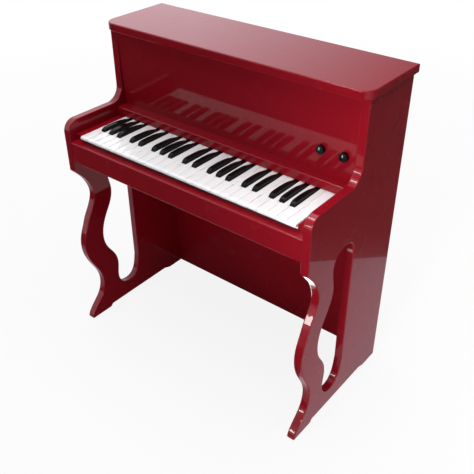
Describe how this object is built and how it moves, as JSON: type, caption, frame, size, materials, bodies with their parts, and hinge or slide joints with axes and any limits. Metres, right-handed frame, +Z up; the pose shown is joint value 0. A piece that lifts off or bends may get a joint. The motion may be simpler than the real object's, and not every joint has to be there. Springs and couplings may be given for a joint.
{
  "type": "upright piano",
  "caption": "Small upright digital piano with a flat lid, a leaning front panel, black and white keys that rock, two control knobs and console sides with curved front legs.",
  "frame": {"origin": "on the floor, under the centre of the piano's bounding box", "axes": "+X to the player's right, +Y from the player to the back of the piano, +Z up"},
  "size_m": [0.573, 0.3, 0.632],
  "materials": {
    "red_lacquer": "high-gloss dark red lacquer over fibreboard",
    "white_key": "polished white moulding",
    "black_key": "polished black moulding",
    "knob_plastic": "satin black moulding",
    "frame_plastic": "plain dark grey moulding",
    "circuit_board": "green solder mask",
    "pot_steel": "plated steel can and bush",
    "screw_steel": "zinc-plated steel",
    "speaker_body": "black paper cone, steel basket and magnet"
  },
  "bodies": {
    "case": {"left_side_panel": "red_lacquer", "right_side_panel": "red_lacquer", "top_lid": "red_lacquer", "upper_front_panel": "red_lacquer", "name_rail": "red_lacquer", "key_slip": "red_lacquer", "key_bed": "red_lacquer", "back_panel": "red_lacquer", "cheek_blocks": "red_lacquer", "control_pots": "pot_steel", "key_frame": "frame_plastic", "circuit_board": "circuit_board", "loudspeakers": "speaker_body", "case_screws": "screw_steel"},
    "volume_knob": {"volume_knob": "knob_plastic"},
    "tone_knob": {"tone_knob": "knob_plastic"},
    "white_key_01": {"white_key_01": "white_key"},
    "white_key_02": {"white_key_02": "white_key"},
    "white_key_03": {"white_key_03": "white_key"},
    "white_key_04": {"white_key_04": "white_key"},
    "white_key_05": {"white_key_05": "white_key"},
    "white_key_06": {"white_key_06": "white_key"},
    "white_key_07": {"white_key_07": "white_key"},
    "white_key_08": {"white_key_08": "white_key"},
    "white_key_09": {"white_key_09": "white_key"},
    "white_key_10": {"white_key_10": "white_key"},
    "white_key_11": {"white_key_11": "white_key"},
    "white_key_12": {"white_key_12": "white_key"},
    "white_key_13": {"white_key_13": "white_key"},
    "white_key_14": {"white_key_14": "white_key"},
    "white_key_15": {"white_key_15": "white_key"},
    "white_key_16": {"white_key_16": "white_key"},
    "white_key_17": {"white_key_17": "white_key"},
    "white_key_18": {"white_key_18": "white_key"},
    "white_key_19": {"white_key_19": "white_key"},
    "white_key_20": {"white_key_20": "white_key"},
    "white_key_21": {"white_key_21": "white_key"},
    "white_key_22": {"white_key_22": "white_key"},
    "white_key_23": {"white_key_23": "white_key"},
    "white_key_24": {"white_key_24": "white_key"},
    "white_key_25": {"white_key_25": "white_key"},
    "white_key_26": {"white_key_26": "white_key"},
    "black_key_01": {"black_key_01": "black_key"},
    "black_key_02": {"black_key_02": "black_key"},
    "black_key_03": {"black_key_03": "black_key"},
    "black_key_04": {"black_key_04": "black_key"},
    "black_key_05": {"black_key_05": "black_key"},
    "black_key_06": {"black_key_06": "black_key"},
    "black_key_07": {"black_key_07": "black_key"},
    "black_key_08": {"black_key_08": "black_key"},
    "black_key_09": {"black_key_09": "black_key"},
    "black_key_10": {"black_key_10": "black_key"},
    "black_key_11": {"black_key_11": "black_key"},
    "black_key_12": {"black_key_12": "black_key"},
    "black_key_13": {"black_key_13": "black_key"},
    "black_key_14": {"black_key_14": "black_key"},
    "black_key_15": {"black_key_15": "black_key"},
    "black_key_16": {"black_key_16": "black_key"},
    "black_key_17": {"black_key_17": "black_key"},
    "black_key_18": {"black_key_18": "black_key"}
  },
  "joints": [
    {"name": "white_key_01_press", "type": "hinge", "parent": "case", "child": "white_key_01", "pos_m": [-0.2375, 0.05, 0.438], "axis": [1, 0, 0], "range_deg": [0, 1.92], "stiffness_Nm_per_rad": 1.5, "springref_deg": -3.44},
    {"name": "white_key_02_press", "type": "hinge", "parent": "case", "child": "white_key_02", "pos_m": [-0.2185, 0.05, 0.438], "axis": [1, 0, 0], "range_deg": [0, 1.92], "stiffness_Nm_per_rad": 1.5, "springref_deg": -3.44},
    {"name": "white_key_03_press", "type": "hinge", "parent": "case", "child": "white_key_03", "pos_m": [-0.1995, 0.05, 0.438], "axis": [1, 0, 0], "range_deg": [0, 1.92], "stiffness_Nm_per_rad": 1.5, "springref_deg": -3.44},
    {"name": "white_key_04_press", "type": "hinge", "parent": "case", "child": "white_key_04", "pos_m": [-0.1805, 0.05, 0.438], "axis": [1, 0, 0], "range_deg": [0, 1.92], "stiffness_Nm_per_rad": 1.5, "springref_deg": -3.44},
    {"name": "white_key_05_press", "type": "hinge", "parent": "case", "child": "white_key_05", "pos_m": [-0.1615, 0.05, 0.438], "axis": [1, 0, 0], "range_deg": [0, 1.92], "stiffness_Nm_per_rad": 1.5, "springref_deg": -3.44},
    {"name": "white_key_06_press", "type": "hinge", "parent": "case", "child": "white_key_06", "pos_m": [-0.1425, 0.05, 0.438], "axis": [1, 0, 0], "range_deg": [0, 1.92], "stiffness_Nm_per_rad": 1.5, "springref_deg": -3.44},
    {"name": "white_key_07_press", "type": "hinge", "parent": "case", "child": "white_key_07", "pos_m": [-0.1235, 0.05, 0.438], "axis": [1, 0, 0], "range_deg": [0, 1.92], "stiffness_Nm_per_rad": 1.5, "springref_deg": -3.44},
    {"name": "white_key_08_press", "type": "hinge", "parent": "case", "child": "white_key_08", "pos_m": [-0.1045, 0.05, 0.438], "axis": [1, 0, 0], "range_deg": [0, 1.92], "stiffness_Nm_per_rad": 1.5, "springref_deg": -3.44},
    {"name": "white_key_09_press", "type": "hinge", "parent": "case", "child": "white_key_09", "pos_m": [-0.0855, 0.05, 0.438], "axis": [1, 0, 0], "range_deg": [0, 1.92], "stiffness_Nm_per_rad": 1.5, "springref_deg": -3.44},
    {"name": "white_key_10_press", "type": "hinge", "parent": "case", "child": "white_key_10", "pos_m": [-0.0665, 0.05, 0.438], "axis": [1, 0, 0], "range_deg": [0, 1.92], "stiffness_Nm_per_rad": 1.5, "springref_deg": -3.44},
    {"name": "white_key_11_press", "type": "hinge", "parent": "case", "child": "white_key_11", "pos_m": [-0.0475, 0.05, 0.438], "axis": [1, 0, 0], "range_deg": [0, 1.92], "stiffness_Nm_per_rad": 1.5, "springref_deg": -3.44},
    {"name": "white_key_12_press", "type": "hinge", "parent": "case", "child": "white_key_12", "pos_m": [-0.0285, 0.05, 0.438], "axis": [1, 0, 0], "range_deg": [0, 1.92], "stiffness_Nm_per_rad": 1.5, "springref_deg": -3.44},
    {"name": "white_key_13_press", "type": "hinge", "parent": "case", "child": "white_key_13", "pos_m": [-0.0095, 0.05, 0.438], "axis": [1, 0, 0], "range_deg": [0, 1.92], "stiffness_Nm_per_rad": 1.5, "springref_deg": -3.44},
    {"name": "white_key_14_press", "type": "hinge", "parent": "case", "child": "white_key_14", "pos_m": [0.0095, 0.05, 0.438], "axis": [1, 0, 0], "range_deg": [0, 1.92], "stiffness_Nm_per_rad": 1.5, "springref_deg": -3.44},
    {"name": "white_key_15_press", "type": "hinge", "parent": "case", "child": "white_key_15", "pos_m": [0.0285, 0.05, 0.438], "axis": [1, 0, 0], "range_deg": [0, 1.92], "stiffness_Nm_per_rad": 1.5, "springref_deg": -3.44},
    {"name": "white_key_16_press", "type": "hinge", "parent": "case", "child": "white_key_16", "pos_m": [0.0475, 0.05, 0.438], "axis": [1, 0, 0], "range_deg": [0, 1.92], "stiffness_Nm_per_rad": 1.5, "springref_deg": -3.44},
    {"name": "white_key_17_press", "type": "hinge", "parent": "case", "child": "white_key_17", "pos_m": [0.0665, 0.05, 0.438], "axis": [1, 0, 0], "range_deg": [0, 1.92], "stiffness_Nm_per_rad": 1.5, "springref_deg": -3.44},
    {"name": "white_key_18_press", "type": "hinge", "parent": "case", "child": "white_key_18", "pos_m": [0.0855, 0.05, 0.438], "axis": [1, 0, 0], "range_deg": [0, 1.92], "stiffness_Nm_per_rad": 1.5, "springref_deg": -3.44},
    {"name": "white_key_19_press", "type": "hinge", "parent": "case", "child": "white_key_19", "pos_m": [0.1045, 0.05, 0.438], "axis": [1, 0, 0], "range_deg": [0, 1.92], "stiffness_Nm_per_rad": 1.5, "springref_deg": -3.44},
    {"name": "white_key_20_press", "type": "hinge", "parent": "case", "child": "white_key_20", "pos_m": [0.1235, 0.05, 0.438], "axis": [1, 0, 0], "range_deg": [0, 1.92], "stiffness_Nm_per_rad": 1.5, "springref_deg": -3.44},
    {"name": "white_key_21_press", "type": "hinge", "parent": "case", "child": "white_key_21", "pos_m": [0.1425, 0.05, 0.438], "axis": [1, 0, 0], "range_deg": [0, 1.92], "stiffness_Nm_per_rad": 1.5, "springref_deg": -3.44},
    {"name": "white_key_22_press", "type": "hinge", "parent": "case", "child": "white_key_22", "pos_m": [0.1615, 0.05, 0.438], "axis": [1, 0, 0], "range_deg": [0, 1.92], "stiffness_Nm_per_rad": 1.5, "springref_deg": -3.44},
    {"name": "white_key_23_press", "type": "hinge", "parent": "case", "child": "white_key_23", "pos_m": [0.1805, 0.05, 0.438], "axis": [1, 0, 0], "range_deg": [0, 1.92], "stiffness_Nm_per_rad": 1.5, "springref_deg": -3.44},
    {"name": "white_key_24_press", "type": "hinge", "parent": "case", "child": "white_key_24", "pos_m": [0.1995, 0.05, 0.438], "axis": [1, 0, 0], "range_deg": [0, 1.92], "stiffness_Nm_per_rad": 1.5, "springref_deg": -3.44},
    {"name": "white_key_25_press", "type": "hinge", "parent": "case", "child": "white_key_25", "pos_m": [0.2185, 0.05, 0.438], "axis": [1, 0, 0], "range_deg": [0, 1.92], "stiffness_Nm_per_rad": 1.5, "springref_deg": -3.44},
    {"name": "white_key_26_press", "type": "hinge", "parent": "case", "child": "white_key_26", "pos_m": [0.2375, 0.05, 0.438], "axis": [1, 0, 0], "range_deg": [0, 1.92], "stiffness_Nm_per_rad": 1.5, "springref_deg": -3.44},
    {"name": "black_key_01_press", "type": "hinge", "parent": "case", "child": "black_key_01", "pos_m": [-0.2299, 0.05, 0.438], "axis": [1, 0, 0], "range_deg": [0, 1.92], "stiffness_Nm_per_rad": 1.5, "springref_deg": -3.44},
    {"name": "black_key_02_press", "type": "hinge", "parent": "case", "child": "black_key_02", "pos_m": [-0.209, 0.05, 0.438], "axis": [1, 0, 0], "range_deg": [0, 1.92], "stiffness_Nm_per_rad": 1.5, "springref_deg": -3.44},
    {"name": "black_key_03_press", "type": "hinge", "parent": "case", "child": "black_key_03", "pos_m": [-0.1881, 0.05, 0.438], "axis": [1, 0, 0], "range_deg": [0, 1.92], "stiffness_Nm_per_rad": 1.5, "springref_deg": -3.44},
    {"name": "black_key_04_press", "type": "hinge", "parent": "case", "child": "black_key_04", "pos_m": [-0.1539, 0.05, 0.438], "axis": [1, 0, 0], "range_deg": [0, 1.92], "stiffness_Nm_per_rad": 1.5, "springref_deg": -3.44},
    {"name": "black_key_05_press", "type": "hinge", "parent": "case", "child": "black_key_05", "pos_m": [-0.1311, 0.05, 0.438], "axis": [1, 0, 0], "range_deg": [0, 1.92], "stiffness_Nm_per_rad": 1.5, "springref_deg": -3.44},
    {"name": "black_key_06_press", "type": "hinge", "parent": "case", "child": "black_key_06", "pos_m": [-0.0969, 0.05, 0.438], "axis": [1, 0, 0], "range_deg": [0, 1.92], "stiffness_Nm_per_rad": 1.5, "springref_deg": -3.44},
    {"name": "black_key_07_press", "type": "hinge", "parent": "case", "child": "black_key_07", "pos_m": [-0.076, 0.05, 0.438], "axis": [1, 0, 0], "range_deg": [0, 1.92], "stiffness_Nm_per_rad": 1.5, "springref_deg": -3.44},
    {"name": "black_key_08_press", "type": "hinge", "parent": "case", "child": "black_key_08", "pos_m": [-0.0551, 0.05, 0.438], "axis": [1, 0, 0], "range_deg": [0, 1.92], "stiffness_Nm_per_rad": 1.5, "springref_deg": -3.44},
    {"name": "black_key_09_press", "type": "hinge", "parent": "case", "child": "black_key_09", "pos_m": [-0.0209, 0.05, 0.438], "axis": [1, 0, 0], "range_deg": [0, 1.92], "stiffness_Nm_per_rad": 1.5, "springref_deg": -3.44},
    {"name": "black_key_10_press", "type": "hinge", "parent": "case", "child": "black_key_10", "pos_m": [0.0019, 0.05, 0.438], "axis": [1, 0, 0], "range_deg": [0, 1.92], "stiffness_Nm_per_rad": 1.5, "springref_deg": -3.44},
    {"name": "black_key_11_press", "type": "hinge", "parent": "case", "child": "black_key_11", "pos_m": [0.0361, 0.05, 0.438], "axis": [1, 0, 0], "range_deg": [0, 1.92], "stiffness_Nm_per_rad": 1.5, "springref_deg": -3.44},
    {"name": "black_key_12_press", "type": "hinge", "parent": "case", "child": "black_key_12", "pos_m": [0.057, 0.05, 0.438], "axis": [1, 0, 0], "range_deg": [0, 1.92], "stiffness_Nm_per_rad": 1.5, "springref_deg": -3.44},
    {"name": "black_key_13_press", "type": "hinge", "parent": "case", "child": "black_key_13", "pos_m": [0.0779, 0.05, 0.438], "axis": [1, 0, 0], "range_deg": [0, 1.92], "stiffness_Nm_per_rad": 1.5, "springref_deg": -3.44},
    {"name": "black_key_14_press", "type": "hinge", "parent": "case", "child": "black_key_14", "pos_m": [0.1121, 0.05, 0.438], "axis": [1, 0, 0], "range_deg": [0, 1.92], "stiffness_Nm_per_rad": 1.5, "springref_deg": -3.44},
    {"name": "black_key_15_press", "type": "hinge", "parent": "case", "child": "black_key_15", "pos_m": [0.1349, 0.05, 0.438], "axis": [1, 0, 0], "range_deg": [0, 1.92], "stiffness_Nm_per_rad": 1.5, "springref_deg": -3.44},
    {"name": "black_key_16_press", "type": "hinge", "parent": "case", "child": "black_key_16", "pos_m": [0.1691, 0.05, 0.438], "axis": [1, 0, 0], "range_deg": [0, 1.92], "stiffness_Nm_per_rad": 1.5, "springref_deg": -3.44},
    {"name": "black_key_17_press", "type": "hinge", "parent": "case", "child": "black_key_17", "pos_m": [0.19, 0.05, 0.438], "axis": [1, 0, 0], "range_deg": [0, 1.92], "stiffness_Nm_per_rad": 1.5, "springref_deg": -3.44},
    {"name": "black_key_18_press", "type": "hinge", "parent": "case", "child": "black_key_18", "pos_m": [0.2109, 0.05, 0.438], "axis": [1, 0, 0], "range_deg": [0, 1.92], "stiffness_Nm_per_rad": 1.5, "springref_deg": -3.44},
    {"name": "volume_knob_turn", "type": "hinge", "parent": "case", "child": "volume_knob", "pos_m": [0.201, 0.00824, 0.5105], "axis": [0, -0.9994, -0.0349], "range_deg": [-150, 150]},
    {"name": "tone_knob_turn", "type": "hinge", "parent": "case", "child": "tone_knob", "pos_m": [0.245, 0.00824, 0.5105], "axis": [0, -0.9994, -0.0349], "range_deg": [-150, 150]}
  ]
}
